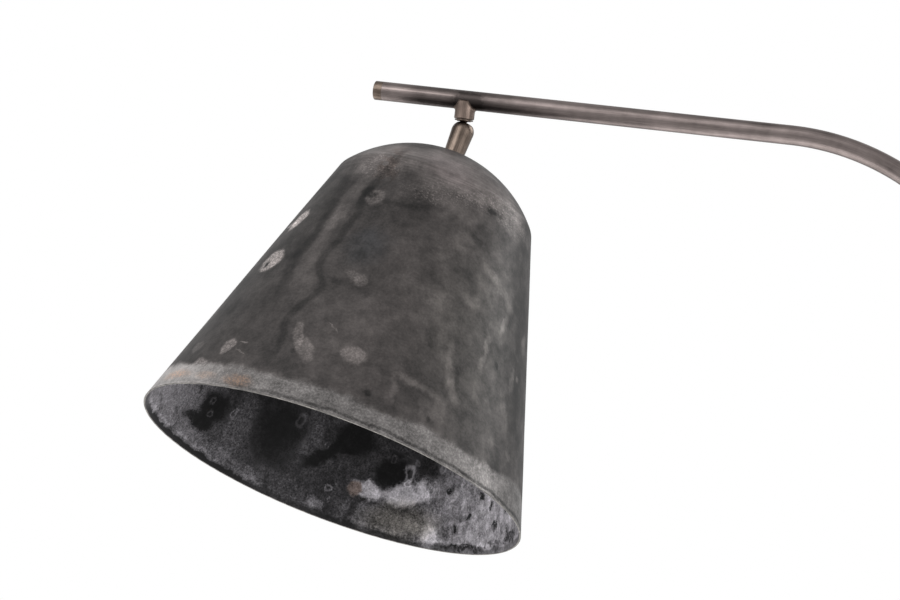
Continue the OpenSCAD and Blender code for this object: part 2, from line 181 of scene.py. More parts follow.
def make_softbox(name, place, aim, size, power):
    light = bpy.data.lights.new(name, "AREA")
    light.shape = "RECTANGLE"
    light.size, light.size_y = size
    light.energy = power
    box = add_object(name, light)
    box.visible_camera = False
    box.location = place
    box.rotation_euler = (Vector(aim) - Vector(place)).to_track_quat("-Z", "Y").to_euler()


def make_world():
    """White behind the lamp, and a softer even light all round it."""
    world = bpy.data.worlds.new("studio")
    world.use_nodes = True
    tree = world.node_tree
    tree.nodes.clear()
    path = tree.nodes.new("ShaderNodeLightPath")
    mix = tree.nodes.new("ShaderNodeMixShader")
    out = tree.nodes.new("ShaderNodeOutputWorld")
    for socket, strength in ((1, FILL_LIGHT), (2, 1.0)):
        even = tree.nodes.new("ShaderNodeBackground")
        even.inputs["Color"].default_value = (1, 1, 1, 1)
        even.inputs["Strength"].default_value = strength
        tree.links.new(even.outputs[0], mix.inputs[socket])
    tree.links.new(path.outputs["Is Camera Ray"], mix.inputs[0])
    tree.links.new(mix.outputs[0], out.inputs["Surface"])
    bpy.context.scene.world = world


# ---- Materials ----

class Finish:
    """One procedural material. Each method adds a node and returns its output."""

    def __init__(self, name, roughness=0.5, metallic=0.0, own=False):
        """own takes the place in the piece's own frame, which mesh_object() keeps, not in the lamp's."""
        self.material = bpy.data.materials.new(name)
        self.material.use_nodes = True
        self.tree = self.material.node_tree
        self.shader = self.tree.nodes["Principled BSDF"]
        if own:
            self.place = self.node("Attribute", attribute_name="own").outputs["Vector"]
        else:
            self.place = self.node("TexCoord").outputs["Object"]
        self.set("Roughness", roughness)
        self.set("Metallic", metallic)

    def node(self, kind, inputs=None, **settings):
        made = self.tree.nodes.new("ShaderNode" + kind)
        for name, value in settings.items():
            setattr(made, name, value)
        for socket, value in (inputs or {}).items():
            self.feed(made.inputs[socket], value)
        return made

    def feed(self, socket, value):
        if isinstance(value, bpy.types.NodeSocket):
            self.tree.links.new(value, socket)
        elif socket.type == "RGBA":
            socket.default_value = (*value, 1)
        else:
            socket.default_value = value

    def set(self, socket, value):
        self.feed(self.shader.inputs[socket], value)

    def math(self, operation, *values, clamp=False):
        return self.node("Math", dict(enumerate(values)), operation=operation, use_clamp=clamp).outputs[0]

    def times(self, value, other):
        return self.math("MULTIPLY", value, other)

    def plus(self, start, value, strength):
        """start + value * strength."""
        return self.math("MULTIPLY_ADD", value, strength, start)

    def vector(self, operation, *values):
        made = self.node("VectorMath", dict(enumerate(values)), operation=operation)
        return made.outputs["Value" if operation == "LENGTH" else "Vector"]

    def parts(self, vector=None):
        return self.node("SeparateXYZ", {0: vector or self.place}).outputs

    def join(self, x, y, z):
        return self.node("CombineXYZ", {0: x, 1: y, 2: z}).outputs[0]

    def noise(self, size, detail=2, rough=0.5, place=None, twist=0.0, seed=0):
        """Soft cloudy noise around 0.5, with features of this size in millimetres."""
        sockets = {"Vector": place or self.place, "W": seed, "Scale": 1 / (size * MM), "Detail": detail,
                   "Roughness": rough, "Distortion": twist}
        return self.node("TexNoise", sockets, noise_dimensions="4D").outputs[0]

    def range(self, value, start, end, low=0, high=1, kind="LINEAR"):
        sockets = {"Value": value, "From Min": start, "From Max": end, "To Min": low, "To Max": high}
        return self.node("MapRange", sockets, interpolation_type=kind).outputs["Result"]

    def rise(self, value, start, end):
        """0 up to start and 1 from end on, smoothly between."""
        return self.range(value, start, end, kind="SMOOTHSTEP")

    def mix(self, share, first, second):
        return self.node("Mix", {0: share, 6: first, 7: second}, data_type="RGBA").outputs[2]

    def ramp(self, value, *stops):
        made = self.node("ValToRGB", {0: value})
        line = made.color_ramp
        while len(line.elements) < len(stops):
            line.elements.new(0.5)
        for element, (at, color) in zip(line.elements, stops):
            element.position = at
            element.color = (*color, 1)
        return made.outputs[0]

    def curve(self, value, points):
        """A value read off a smooth curve through the points, each from 0 to 1."""
        made = self.node("FloatCurve", {1: value})
        line = made.mapping.curves[0]
        for at, height in points[1:-1]:
            line.points.new(at, height)
        line.points[0].location = points[0]
        line.points[-1].location = points[-1]
        made.mapping.update()
        return made.outputs[0]

    def add(self, tone, value, strength):
        """The tone with a noise laid over it: its difference from 0.5, times the strength."""
        return self.plus(tone, self.math("SUBTRACT", value, 0.5), strength)

    def brushed(self):
        """Fine lines along the piece, and their relief. Returns the tone, around 0.5."""
        stretched = self.vector("MULTIPLY", self.place, (1, 1, 0.035))
        lines = self.noise(0.6, detail=3, place=stretched)
        coarse = self.noise(3, place=stretched, seed=3)
        cloud = self.noise(14, detail=4, rough=0.6, seed=1)
        self.set("Normal", self.bump(lines, 0.02))
        tone = self.math("ADD", self.times(lines, 0.45), self.times(coarse, 0.45))
        return self.math("ADD", self.times(tone, 0.65), self.times(cloud, 0.42))

    def bump(self, height, depth):
        """Height from 0 to 1 as relief of this depth in millimetres."""
        return self.node("Bump", {"Strength": 1.0, "Distance": depth * MM, "Height": height}).outputs[0]


def brushed_bronze(name, base, light, roughness=0.42):
    """Darkened bronze plating, brushed along the piece, a little paler where it has worn."""
    f = Finish(name, roughness, metallic=1.0, own=True)
    tone = f.brushed()
    f.set("Base Color", f.ramp(tone, (0.36, base), (0.66, light)))
    return f.material


def arm_bronze(name, base, light):
    """The same on the arm and stem tube, with a braze stain at the tee, painted reflection of the dark
    shade below around the tee and along the tail, and a painted highlight line along the tail.
    """
    f = Finish(name, 0.42, metallic=1.0, own=True)
    tone = f.brushed()
    x, y, z = f.parts()
    tee = TUBE_LENGTH - (ARM_TAIL - CAP_L)
    away = f.math("SUBTRACT", f.math("DIVIDE", z, MM), tee)
    # the turn round the tube, from its near side downwards, in millimetres
    turn = f.times(f.math("ARCTAN2", y, f.times(x, -1)), TUBE_R)
    # a dark patch on the lower front of the tube at the tee: partly a braze stain, partly painted
    # reflection of the dark shade below
    near_tee = f.join(f.math("ADD", away, 3), f.math("SUBTRACT", turn, 4), 0)
    near_tee = f.math("DIVIDE", f.vector("LENGTH", near_tee), 11)
    braze_stain_and_reflection = f.rise(f.add(near_tee, f.noise(3, seed=4), 0.9), 1.2, 0.5)
    tone = f.plus(tone, braze_stain_and_reflection, -0.40)
    # painted reflection of the dark shade below: the tube darker near the tee, fading out 60 mm from it on
    # both sides
    painted_shade_reflection = f.rise(f.add(f.math("ABSOLUTE", away), f.noise(20, seed=5), 30), 60, 10)
    tone = f.plus(tone, painted_shade_reflection, -0.16)
    # a painted highlight: a thin pale line along the tail, a little above its near side
    painted_highlight_line = f.rise(f.math("ABSOLUTE", f.math("ADD", turn, 1.9)), 0.9, 0.2)
    painted_highlight_line = f.times(painted_highlight_line, f.rise(away, 2, 9))
    tone = f.plus(tone, painted_highlight_line, 0.16)
    f.set("Base Color", f.ramp(tone, (0.16, tuple(0.45 * c for c in base)), (0.36, base), (0.66, light),
                               (0.95, tuple(min(1, 1.8 * c) for c in light))))
    return f.material


def on_skin(angle, height, turn):
    """The place on the shade's skin at an angle from its front and a height above its rim, and the
    rotation whose X runs round the skin, Y up it and Z out of it, after a turn in its plane."""
    if height < SHOULDER_Z:
        radius, lean = RIM_R - height * tan(CONE), CONE
    else:
        lean = asin((height - CROWN_Z) / CROWN_R)
        radius = CROWN_R * cos(lean)
    t = radians(angle)
    out = Vector((cos(t), sin(t), 0))
    round_it = Vector((-sin(t), cos(t), 0))
    climb = cos(lean) * UP - sin(lean) * out
    normal = cos(lean) * out + sin(lean) * UP
    axes = Matrix((round_it, climb, normal)).transposed() @ Matrix.Rotation(radians(turn), 3, "Z")
    return MM * (radius * out + height * UP), axes.to_euler()


class Skin(Finish):
    """A finish of the shade's skin, with marks laid on it by angle from its front and height."""

    def __init__(self, name, metallic):
        super().__init__(name, metallic=metallic, own=True)
        self.x, self.y, self.z = self.parts()
        self.angle = self.math("ARCTAN2", self.y, self.x)
        self.ragged = self.warped(self.warped(self.place, 7, 2.6), 1.6, 0.9)
        self.torn = self.warped(self.warped(self.place, 10, 5.0), 2.2, 1.8)
        self.flowing = self.warped(self.warped(self.place, 30, 11), 9, 4.5)
        self.running = self.warped(self.place, 16, 2.4)

    def warped(self, place, size, reach):
        """The place moved about by soft noise, by up to about half of reach in millimetres."""
        made = self.node("TexNoise", {"Vector": place, "Scale": 1 / (size * MM), "Detail": 2.0})
        shift = self.vector("SUBTRACT", made.outputs["Color"], (0.5, 0.5, 0.5))
        return self.vector("MULTIPLY_ADD", shift, (2 * reach * MM,) * 3, place)

    def mark(self, place, angle, height, wide, tall, turn=0, soft=0.3):
        """1 inside an ellipse of these half sizes in millimetres, and 0 outside it."""
        centre, rotation = on_skin(angle, height, turn)
        half = (wide * MM, tall * MM, max(wide, tall) * MM)
        sockets = {"Vector": place, "Location": centre, "Rotation": rotation, "Scale": half}
        local = self.node("Mapping", sockets, vector_type="TEXTURE").outputs[0]
        return self.rise(self.vector("LENGTH", local), 1 + soft, 1 - soft)

    def after(self, place, value):
        """The same place, to within a nanometre, but only known once the value is. It makes the renderer
        work through the marks in turn, because it can't hold all of them at once."""
        if not isinstance(value, bpy.types.NodeSocket):
            return place
        return self.vector("MULTIPLY_ADD", value, (1e-9,) * 3, place)

    def marks(self, place, listed, start=0, soft=0.3):
        """The sum of marks, each (strength, angle, height, half width, half height, turn)."""
        total = start
        for index, (strength, angle, height, wide, tall, *turn) in enumerate(listed):
            if index % 6 == 0:
                place = self.after(place, total)
            share = self.mark(place, angle, height, wide, tall, *turn, soft=soft)
            total = self.plus(total, share, strength)
        return total

    def toward(self, tone, other, share):
        return self.plus(tone, self.math("SUBTRACT", other, tone), share)

    def drip(self, points, width, soft):
        """1 along a line down the skin through points of (height, angle), fading at both ends."""
        span = pi
        x, y, z = self.parts(self.running)
        read = [(height / SHADE_H, 0.5 + radians(angle) / span) for height, angle in points]
        wanted = self.curve(self.math("DIVIDE", z, SHADE_H * MM), read)
        wanted = self.times(self.math("SUBTRACT", wanted, 0.5), span)
        radius = self.plus(RIM_R * MM, z, -tan(CONE))
        away = self.math("ABSOLUTE", self.math("SUBTRACT", self.math("ARCTAN2", y, x), wanted))
        line = self.rise(self.times(away, radius), (width + soft) * MM, width * MM)
        low, high = points[0][0] * MM, points[-1][0] * MM
        fade = 22 * MM
        ends = self.times(self.rise(z, low, low + fade), self.rise(z, high, high - fade))
        return self.times(line, ends)

    def lit(self, tone, tint):
        """A colour from its tone as the eye sees it, from 0 to 1, and its tint."""
        linear = self.math("POWER", self.math("MAXIMUM", tone, 0.03), 2.2)
        return self.node("VectorMath", {"Vector": tint, "Scale": linear}, operation="SCALE").outputs[0]


# Marks on the outside: (change of tone, angle from the front, height, half width, half height), with
# a turn in degrees on some
CLOUDS_AND_PAINTED_LIGHT = [
    (0.03, 32, 110, 44, 80),  # the lighter right half: partly its own tone, partly painted light from the right
    # the second is a painted highlight: grazing light along the far left edge
    (-0.05, 66, 105, 20, 64), (0.13, -81, 65, 14, 62),
    (-0.03, -13, 122, 20, 38),  # darker middle
    (-0.02, 5, 152, 12, 12), (-0.03, -54, 168, 14, 18), (-0.025, -52, 122, 10, 16),
    (-0.025, -60, 75, 16, 26), (-0.025, 20, 58, 9, 22), (-0.04, 66, 74, 8, 12),
    (-0.03, 64, 150, 14, 22), (-0.03, 20, 30, 8, 7),
    (0.175, 4, 208, 50, 18),  # crown, paler: partly worn bare, partly a painted highlight of the light from above
    (0.11, -36, 200, 22, 16),
    (0.07, 38, 190, 36, 10, 6),  # shoulder, paler: partly scuffed, partly a painted highlight along its curve
    (0.06, 7, 200, 20, 14), (0.05, -6, 180, 20, 16), (0.05, 20, 172, 20, 8), (0.08, -34, 184, 10, 9),
    (-0.06, -19, 213, 7, 12), (-0.07, -13, 185, 10, 6), (-0.05, 2, 168, 14, 6, 10),
    (0.045, 6, 76, 40, 62), (0.03, -12, 52, 30, 22),
]
STRIP = [  # paler strip between the two drips
    (0.055, -35, 150, 6.5, 26), (0.045, -34, 112, 6, 22), (0.03, -31, 82, 9, 22, -8),
]
OLIVE = [
    (0.095, 41, 142, 9, 3.5, -12), (0.07, 48, 136, 8, 5, -30), (0.095, 55, 130, 4.5, 6, 40),
    (0.08, 34, 115, 10, 4.5, -8), (0.07, 20, 103, 8, 8), (0.06, 15, 134, 7, 4, 30),
    (0.1, 53, 116, 2.5, 8, -30), (0.045, 38, 130, 12, 10), (0.1, 43, 86, 2.6, 15, -10),
    (0.05, 47, 78, 5, 9), (0.085, 29, 66, 2.6, 17, 4), (0.085, 32, 50, 4, 8, 22), (0.05, 36, 44, 8, 6),
    (0.085, 13.5, 32, 3, 8, 8), (0.08, 20, 42, 15, 2.2, -4), (0.08, 29, 31, 5, 9, -12),
    (0.06, 49, 33, 7, 7), (0.11, 61, 84, 2.2, 10, -12), (0.15, 66.5, 87, 2.6, 2.6, -30),
    (0.13, 73, 118, 4.5, 8, -25), (0.06, 57, 56, 5, 12, 10), (0.04, 40, 60, 6, 9),
    (0.06, 26, 152, 12, 7), (0.08, 62, 35, 4, 2.5, -20),
]
PALE = [
    (0.52, -59, 141, 6.5, 9, -20), (0.3, -64, 138, 6, 2.6, 12), (0.48, -54, 104, 10, 9.5, -10),
    (0.13, -22.5, 162, 6.5, 7), (0.06, -34, 147, 5.5, 8), (0.05, -35.5, 136, 6, 6),
    (0.08, -13, 99.5, 6, 3, -10), (0.1, -9.5, 97.5, 4.5, 4, -18), (0.13, -20, 48, 3.4, 9.5, 24),
    (0.13, -15.5, 38, 5, 10, 32), (0.15, -1, 44, 8, 6.5), (0.24, -41.5, 31, 5, 6.5, -10),
    (0.1, -57, 31, 6, 5), (0.25, -48.5, 17, 7, 4), (0.18, -36.5, 34.3, 3.4, 0.7, 4),
    (0.14, -35.5, 27.5, 5.5, 0.6, -28), (0.1, -10.5, 58.5, 5, 0.6, -38),
]
DARK = [
    (-0.42, -56, 100.5, 2.2, 2.6), (-0.12, -23.5, 164, 3.6, 2.4), (-0.08, -28, 166, 3, 5),
    (-0.11, 6.7, 23, 2.4, 2.8), (-0.09, 26, 23, 1.8, 1.8), (-0.16, -0.8, 10, 1, 1.2),
    (-0.16, 36, 185, 6, 2.6), (-0.12, 50, 84, 1.8, 2), (-0.16, -48.5, 15.5, 3.2, 1.5),
    (-0.045, -12, 161, 14, 2.2), (-0.04, -14, 92, 14, 2.6, -6), (-0.05, -43.5, 108, 6, 4),
    (-0.07, -18.5, 35.5, 1.6, 1.8), (-0.06, 32, 158, 8, 3, -10), (-0.05, 28, 131, 9, 4),
    (-0.07, 33, 58, 2, 9, 18),
]
DRIP_LEFT = [(72, -36), (90, -38.5), (104, -41), (122, -39.5), (140, -40.5), (152, -42),
             (168, -45), (184, -47), (206, -52)]
DRIP_RIGHT = [(20, -24), (44, -24.5), (56, -26.5), (68, -25), (80, -22), (89, -22.5), (97, -26.5),
              (105, -28), (120, -27), (135, -26.5), (150, -26), (162, -27.5), (176, -25.5), (222, -23)]
RUST = [
    (0.9, -56, 8, 14, 3.5), (1, -30, 6, 10, 4), (0.5, -42, 7, 8, 2.5),
]
NEUTRAL = (1.0, 0.885, 0.850)


def shade_outside():
    """Darkened raw steel: clouded, with water marks, drip lines and a bare band at the rim."""
    f = Skin("shade_outside", metallic=0.35)
    cloud = f.noise(34, detail=4, rough=0.55, twist=0.5)
    patch = f.noise(15, detail=3, twist=0.4, seed=3)
    fine = f.noise(7, detail=4, rough=0.6, seed=2)
    grain = f.noise(1.7, detail=3, rough=0.7, seed=4)
    speck = f.rise(f.noise(1.5, rough=0.7, seed=6), 0.44, 0.60)
    on_right = f.rise(f.angle, 0.0, 0.7)

    # clouds of tone, with painted light on the right half, the far left edge, the crown and the shoulder
    tone = f.marks(f.flowing, CLOUDS_AND_PAINTED_LIGHT, 0.235, soft=0.75)
    tone = f.add(tone, cloud, 0.20)
    tone = f.add(tone, patch, 0.16)
    tone = f.marks(f.ragged, STRIP, tone, soft=0.35)
    tone = f.marks(f.torn, OLIVE, tone, soft=0.5)
    tone = f.add(tone, fine, f.plus(0.18, on_right, 0.14))
    tone = f.plus(tone, f.drip(DRIP_LEFT, 1.4, 5.0), -0.062)
    tone = f.plus(tone, f.drip(DRIP_RIGHT, 0.9, 3.6), -0.070)

    pale = f.marks(f.ragged, PALE, soft=0.22)
    tone = f.plus(tone, pale, f.range(speck, 0, 1, 0.60, 1.15))
    tone = f.marks(f.ragged, DARK, tone, soft=0.5)

    # the crown's edge is scuffed in bright specks up to the shoulder
    scuffed = f.mark(f.flowing, 33, 188, 46, 10, 7, soft=0.6)
    for mark in ((-31, 188, 16, 10), (0, 174, 16, 7)):
        scuffed = f.math("MAXIMUM", scuffed, f.mark(f.flowing, *mark, soft=0.6))
    flat = f.vector("MULTIPLY", f.place, (1, 1, 1.5))
    scratch = f.rise(f.noise(1.5, detail=3, rough=0.75, place=flat, seed=12), 0.50, 0.66)
    pitted = f.rise(f.noise(3.2, detail=3, rough=0.75, place=flat, seed=13), 0.47, 0.30)
    tone = f.plus(tone, f.times(scuffed, scratch), 0.17)
    tone = f.plus(tone, f.times(scuffed, pitted), -0.07)
    # spin lines, round the crown
    stretched = f.join(f.times(f.x, 0.05), f.times(f.y, 0.05), f.z)
    lines = f.noise(1.1, detail=3, place=stretched, seed=5)
    on_crown = f.rise(f.z, 0.165, 0.200)
    tone = f.add(tone, lines, f.plus(0.02, on_crown, 0.24))

    # the bare band at the rim
    edge = f.parts(f.ragged)[2]
    edge = f.add(edge, cloud, -0.014)
    edge = f.plus(edge, f.rise(f.angle, 0.6, 1.2), -0.006)
    edge = f.plus(edge, f.rise(f.angle, -0.6, -1.1), -0.003)
    band = f.rise(edge, 0.0185, 0.0125)
    bare = f.add(0.45, speck, 0.09)
    bare = f.add(bare, fine, 0.34)
    bare = f.add(bare, patch, 0.30)
    bare = f.plus(bare, f.mark(f.flowing, -64, 9, 58, 18, soft=0.7), 0.30)
    bare = f.plus(bare, f.mark(f.flowing, 70, 10, 24, 14, soft=0.7), -0.02)
    low = f.add(f.z, f.noise(14, seed=8), 0.0040)
    seam = f.times(f.rise(low, 0.0012, 0.0020), f.rise(low, 0.0044, 0.0028))
    seam = f.times(seam, f.range(f.angle, -0.7, 0.3, 0.3, 1.0))
    bare = f.plus(bare, seam, -0.15)
    tone = f.toward(tone, bare, band)
    tone = f.add(tone, grain, 0.17)

    tint = f.mix(f.mark(f.flowing, 7, 201, 17, 11, soft=0.7), NEUTRAL, (1.0, 0.86, 0.84))
    tint = f.mix(f.mark(f.flowing, -14, 125, 12, 14, soft=0.7), tint, (0.95, 0.92, 0.96))
    tint = f.mix(f.mark(f.flowing, 42, 90, 40, 70, soft=0.8), tint, (1.0, 0.915, 0.85))
    brown = f.times(f.mark(f.flowing, -25, 188, 6, 20, soft=0.6), f.rise(fine, 0.42, 0.55))
    tone = f.plus(tone, brown, -0.07)
    tint = f.mix(brown, tint, (1.08, 0.87, 0.79))
    tint = f.mix(f.times(band, 0.7), tint, (0.97, 0.94, 0.925))
    rust = f.marks(f.ragged, RUST, soft=0.6)
    rust = f.math("MULTIPLY", rust, f.range(speck, 0, 1, 0.35, 1.0), clamp=True)
    tint = f.mix(rust, tint, (1.14, 0.78, 0.58))
    f.set("Base Color", f.lit(tone, tint))
    f.set("Specular IOR Level", 0.35)
    f.set("Metallic", f.range(band, 0, 1, 0.35, 0.75))
    f.set("Roughness", f.range(tone, 0.18, 0.50, 0.52, 0.40))
    f.set("Normal", f.bump(f.plus(grain, fine, 0.8), 0.05))
    return f.material


# Marks on the inside, in the same form
INSIDE_LIT_ENDS = [  # the two ends of the inner wall, painted paler where light falls on them
    (0.52, 116, 24, 58, 46), (0.3, 263, 14, 50, 42),
]
INSIDE_PALE = [
    (0.06, 140, 38, 12, 14),
    (0.5, 157, 33.5, 22, 7.5, -16),  # pale streak that ends at the brown spot
    (0.52, 172, 28.5, 11, 6, -4), (0.34, 147, 7, 7, 9), (0.08, 222, 30, 9, 24), (0.06, 196, 50, 8, 20),
    (0.1, 226, 8, 44, 7), (0.2, 187, 8, 6, 5), (0.15, 166, 11, 30, 11), (0.1, 150, 17, 14, 13),
    (0.05, 200, 9, 26, 9), (0.24, 114, 5, 3.5, 3),
]
# Partly black stains, partly painted shade that darkens the far wall higher up inside
STAINS_AND_PAINTED_SHADE = [
    (1, 165, 44, 13, 9, -14), (0.55, 152, 53, 14, 7, 20), (0.9, 181, 58, 13, 11, 20),
    (1, 189, 42, 5.5, 19, 44), (0.75, 208, 42, 18, 24), (1, 235, 33, 13, 12, 15),
    (0.7, 239, 20, 17, 4.5), (0.6, 117, 18, 4, 5), (0.7, 131, 24, 1.8, 4), (0.6, 141, 40, 3, 4),
    (0.5, 108, 15, 4, 3), (0.7, 120, 31, 3, 4), (0.6, 126, 38, 4, 3), (0.6, 110, 28, 3, 5),
    (0.6, 137, 17, 2.5, 4), (0.6, 104, 8, 16, 5), (0.6, 132, 4, 24, 2.6), (0.5, 172, 2.5, 44, 2),
]
RINGS = [
    (0.34, 159, 46, 4.2, 6.8), (0.26, 158.5, 39.5, 2.6, 2.6), (0.28, 184.5, 21, 2.8, 3.2),
    (0.2, 182.5, 25.5, 1.9, 2.2), (0.16, 237, 37, 3.6, 3.4), (0.16, 235, 28.5, 3.2, 3.2),
    (0.14, 202, 55, 3.8, 6), (0.14, 157, 54, 2.6, 3), (0.14, 146, 53, 3, 3),
    (0.12, 190, 47, 2.5, 4), (0.14, 226, 38, 2.2, 4.5), (0.12, 166, 53, 2.4, 3.4),
    (0.14, 183, 14, 1.6, 2.6),
]


def shade_inside():
    """The inner skin: dull zinc in fine crystals, with black stains, drips and rings, and painted shade on
    the far wall higher up inside.
    """
    f = Skin("shade_inside", metallic=0.2)
    cloud = f.noise(26, detail=4, rough=0.6, twist=0.8, seed=17)
    fine = f.noise(5, detail=4, rough=0.65, seed=12)
    speck = f.noise(1.2, rough=0.7, seed=16)
    runs = f.noise(4.5, detail=3, rough=0.6, place=f.vector("MULTIPLY", f.place, (1, 1, 0.3)), seed=21)
    blotch = f.noise(8, detail=5, rough=0.65, twist=1.0, seed=31)
    tone = f.add(0.215, cloud, 0.22)
    # painted light: the two ends of the inner wall made paler
    tone = f.marks(f.flowing, INSIDE_LIT_ENDS, tone, soft=0.85)
    tone = f.marks(f.torn, INSIDE_PALE, tone, soft=0.35)
    right_end = f.mark(f.flowing, 118, 25, 66, 48, soft=0.7)
    tone = f.add(tone, fine, 0.22)
    tone = f.add(tone, runs, f.plus(0.05, right_end, 0.50))
    tone = f.add(tone, blotch, f.plus(0.10, right_end, 0.95))
    # the black stains, and the painted shade higher up the far wall, break up into grains at their edges
    stain_and_shade = f.math("MINIMUM", f.marks(f.torn, STAINS_AND_PAINTED_SHADE, soft=0.6), 1.0)
    stain_and_shade = f.times(f.rise(f.add(stain_and_shade, speck, 2.0), 0.20, 0.80), f.rise(stain_and_shade, 0.05, 0.5))
    stain_and_shade = f.math("MAXIMUM", stain_and_shade, f.times(f.rise(cloud, 0.44, 0.36), 0.5))
    tone = f.toward(tone, f.add(0.075, fine, 0.12), f.times(stain_and_shade, 0.94))
    for strength, angle, height, wide, tall in RINGS:
        place = f.after(f.ragged, tone)
        outer = f.mark(place, angle, height, wide, tall, soft=0.22)
        inner = f.mark(place, angle, height, wide * 0.62, tall * 0.62, soft=0.35)
        tone = f.plus(tone, f.math("SUBTRACT", outer, inner), strength)
    amount = f.plus(0.16, f.rise(tone, 0.07, 0.36), 0.60)
    tone = f.add(tone, speck, amount)
    brown = f.mark(f.ragged, 176.5, 26.5, 5.4, 5.6, soft=0.2)
    tone = f.toward(tone, f.add(f.add(0.42, fine, 0.7), speck, 0.5), f.times(brown, 0.85))
    edge = f.parts(f.ragged)[2]
    shadowed = f.mark(f.place, 238, 3, 80, 8, soft=0.4)
    strip = f.times(f.rise(edge, 0.0042, 0.0030), f.plus(0.35, shadowed, 0.6))
    crust = f.times(f.rise(edge, 0.0045, 0.0055), f.rise(edge, 0.0080, 0.0062))
    crust = f.times(crust, f.rise(fine, 0.42, 0.58))
    tone = f.plus(tone, crust, 0.12)
    tone = f.toward(tone, 0.10, strip)
    tint = f.mix(f.mark(f.flowing, 158, 14, 26, 12, soft=0.6), (0.97, 0.925, 0.985), (1.0, 0.93, 0.87))
    tint = f.mix(brown, tint, (1.07, 0.84, 0.76))
    f.set("Base Color", f.lit(tone, tint))
    f.set("Specular IOR Level", 0.2)
    f.set("Roughness", f.range(tone, 0.15, 0.5, 0.50, 0.62))
    f.set("Normal", f.bump(speck, 0.06))
    return f.material


def shade_rim():
    """The cut edge of the sheet, dressed smooth."""
    f = Finish("shade_rim", 0.42, metallic=0.9, own=True)
    fine = f.noise(6, detail=4)
    f.set("Base Color", f.ramp(fine, (0.35, (0.10, 0.095, 0.09)), (0.65, (0.30, 0.28, 0.26))))
    return f.material


def floor_finish():
    f = Finish("floor_finish", roughness=0.75)
    cloud = f.noise(400, detail=3)
    f.set("Base Color", f.ramp(cloud, (0.3, (0.79, 0.79, 0.79)), (0.7, (0.82, 0.82, 0.82))))
    return f.material


def spun_steel(name, dark, light):
    """Blackened steel, with the fine rings that spinning and brushing leave."""
    f = Finish(name, metallic=0.8, own=True)
    x, y, z = f.parts()
    rings = f.noise(0.8, detail=3, place=f.join(f.vector("LENGTH", f.join(x, y, 0)), 0, z))
    cloud = f.noise(24, detail=4, rough=0.6, seed=2)
    tone = f.plus(f.times(cloud, 0.55), rings, 0.45)
    f.set("Base Color", f.ramp(tone, (0.38, dark), (0.62, light)))
    f.set("Roughness", f.range(cloud, 0.3, 0.7, 0.38, 0.54))
    f.set("Normal", f.bump(rings, 0.02))
    return f.material


def clear_glass():
    """Blown glass: faintly uneven, with a breath of dust."""
    f = Finish("clear_glass")
    f.set("Base Color", (1, 1, 1))
    f.set("Transmission Weight", 1.0)
    f.set("IOR", 1.5)
    f.set("Roughness", f.range(f.noise(12, detail=4), 0.35, 0.7, 0.02, 0.07))
    f.set("Normal", f.bump(f.noise(9, detail=1, seed=2), 0.05))
    return f.material


def plain(name, dark, light, size, roughness, metallic=0.0, relief=0.02):
    """A finish with a fine two-tone cloud and a matching relief."""
    f = Finish(name, metallic=metallic)
    cloud = f.noise(size, detail=4, rough=0.6)
    f.set("Base Color", f.ramp(cloud, (0.35, dark), (0.65, light)))
    f.set("Roughness", f.range(cloud, 0.3, 0.7, roughness - 0.06, roughness + 0.06))
    f.set("Normal", f.bump(cloud, relief))
    return f.material


# ---- Mesh making ----

def arc(centre, radius, start, end, steps):
    """Points along an arc; angles in radians."""
    turns = [start + (end - start) * i / steps for i in range(steps + 1)]
    return [(centre[0] + radius * cos(t), centre[1] + radius * sin(t)) for t in turns]


def rounded(corners, steps=4):
    """The corners, each (r, z, fillet radius), joined by lines and fillets. The outline is closed."""
    points = []
    count = len(corners)
    for i, (r, z, fillet) in enumerate(corners):
        here = Vector((r, z))
        before = Vector(corners[i - 1][:2]) - here
        after = Vector(corners[(i + 1) % count][:2]) - here
        if fillet <= 0:
            points.append((r, z))
            continue
        half = before.angle(after) / 2
        reach = min(fillet / tan(half), 0.49 * before.length, 0.49 * after.length)
        radius = reach * tan(half)
        centre = here + (before.normalized() + after.normalized()).normalized() * (radius / sin(half))
        first = here + before.normalized() * reach - centre
        last = here + after.normalized() * reach - centre
        turn = atan2(first.x * last.y - first.y * last.x, first.dot(last))
        for k in range(steps + 1):
            t = turn * k / steps
            points.append((centre.x + first.x * cos(t) - first.y * sin(t),
                           centre.y + first.x * sin(t) + first.y * cos(t)))
    return points


def held(points, closed=True, reach=0.12):
    """The outline with an extra point near both ends of each long line, so flat faces shade flat."""
    out = []
    pairs = zip(points, points[1:] + points[:1]) if closed else zip(points, points[1:])
    for (r0, z0), (r1, z1) in pairs:
        out.append((r0, z0))
        length = hypot(r1 - r0, z1 - z0)
        if length > 6 * reach:
            for t in (reach / length, 1 - reach / length):
                out.append((r0 + (r1 - r0) * t, z0 + (z1 - z0) * t))
    return out if closed else out + [points[-1]]


def mesh_object(name, slot, vertices, faces, place, body, node, own=None, face_slots=None):
    """A shaded mesh object that rides on its body and stands for its CAD node.

    The vertices are in the frame at place. The attribute "own" keeps them there for the materials,
    or keeps what own gives, such as a bent tube's vertices as if it were straight.
    """
    mesh = bpy.data.meshes.new(name)
    mesh.from_pydata([place @ (Vector(v) * MM) for v in vertices], [], faces)
    for material in LOOKS[slot]:
        mesh.materials.append(material)
    if face_slots:
        mesh.polygons.foreach_set("material_index", face_slots)
    layer = mesh.attributes.new("own", "FLOAT_VECTOR", "POINT")
    layer.data.foreach_set("vector", [c * MM for v in (own or vertices) for c in v])
    mesh.shade_smooth()
    mesh.set_sharp_from_angle(angle=radians(38))
    made = add_object(name, mesh)
    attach(made, body)
    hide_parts(node)
    return made


